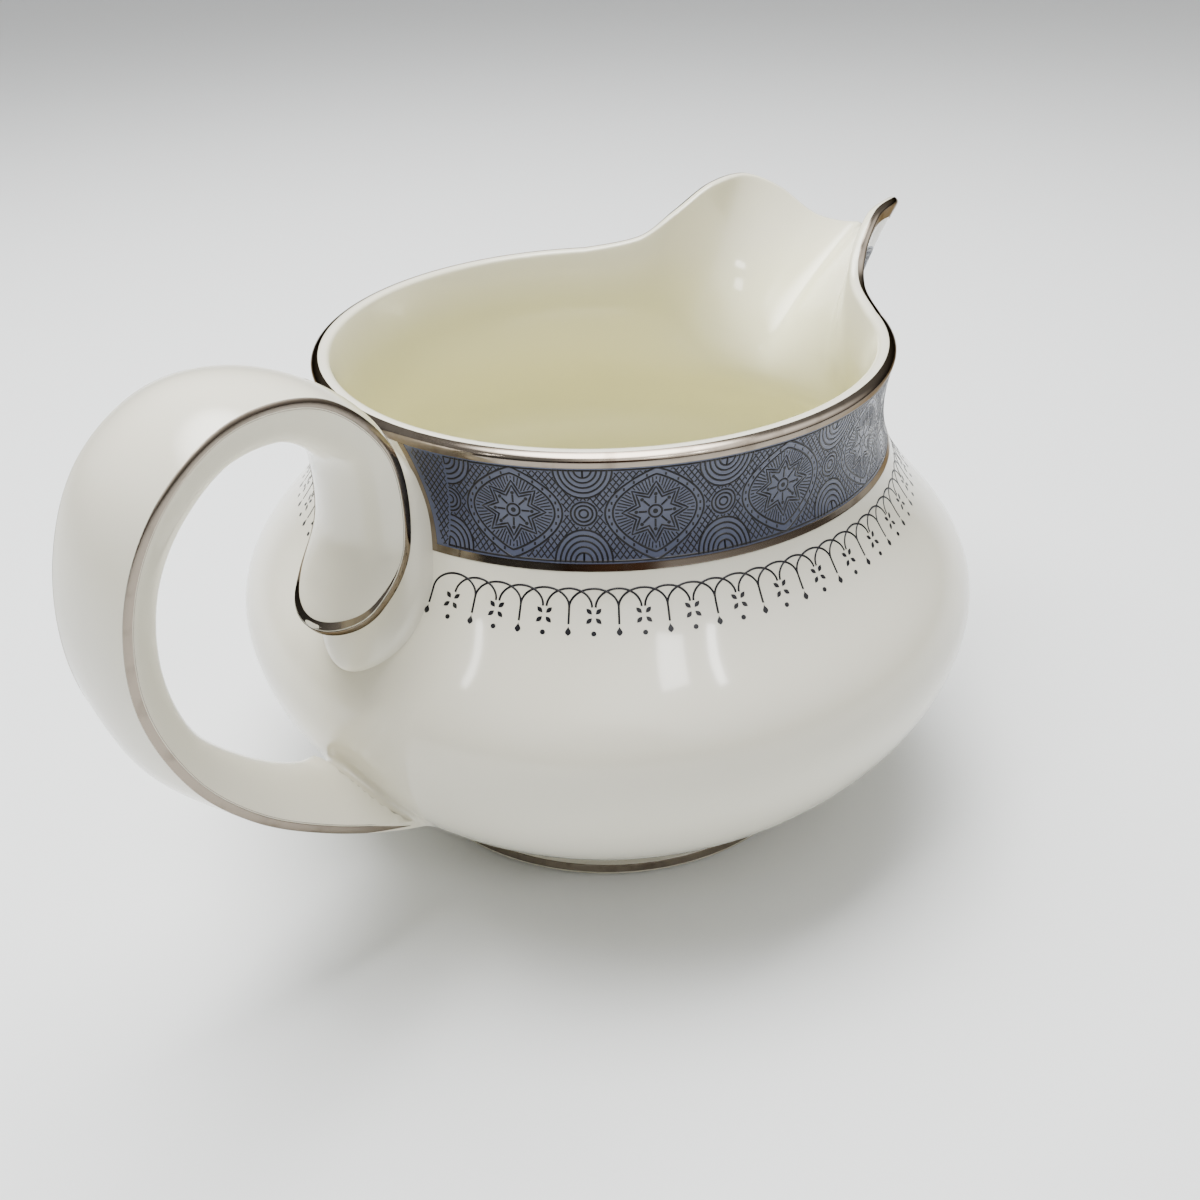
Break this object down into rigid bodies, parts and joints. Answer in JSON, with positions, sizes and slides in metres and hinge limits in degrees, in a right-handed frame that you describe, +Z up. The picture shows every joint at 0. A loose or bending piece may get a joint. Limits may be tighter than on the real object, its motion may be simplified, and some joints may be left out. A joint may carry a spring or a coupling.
{
  "type": "creamer",
  "caption": "Squat round bone china creamer with a concave neck, a long winged pouring lip, a scroll handle and a turned foot ring, with platinum lines and a printed neck band.",
  "frame": {"origin": "centre of the foot ring's resting face, on the axis of the round bowl", "axes": "+Z up, +X towards the tip of the pouring lip, -X towards the handle; the XZ plane is the mirror plane of the jug"},
  "size_m": [0.1467, 0.1044, 0.0797],
  "materials": {
    "bone_china": "clear gloss glaze over white bone china",
    "platinum_lustre": "fired platinum lustre, polished",
    "slate_print": "on-glaze ceramic print, gloss"
  },
  "bodies": {
    "root": {"bowl": "bone_china", "foot_ring": "bone_china", "handle": "bone_china", "handle_seat": "bone_china", "handle_luting": "bone_china", "rim_line": "platinum_lustre", "neck_band": "slate_print", "neck_line": "platinum_lustre", "band_end_lines": "platinum_lustre", "foot_line": "platinum_lustre", "handle_edge_lines": "platinum_lustre"}
  },
  "joints": []
}
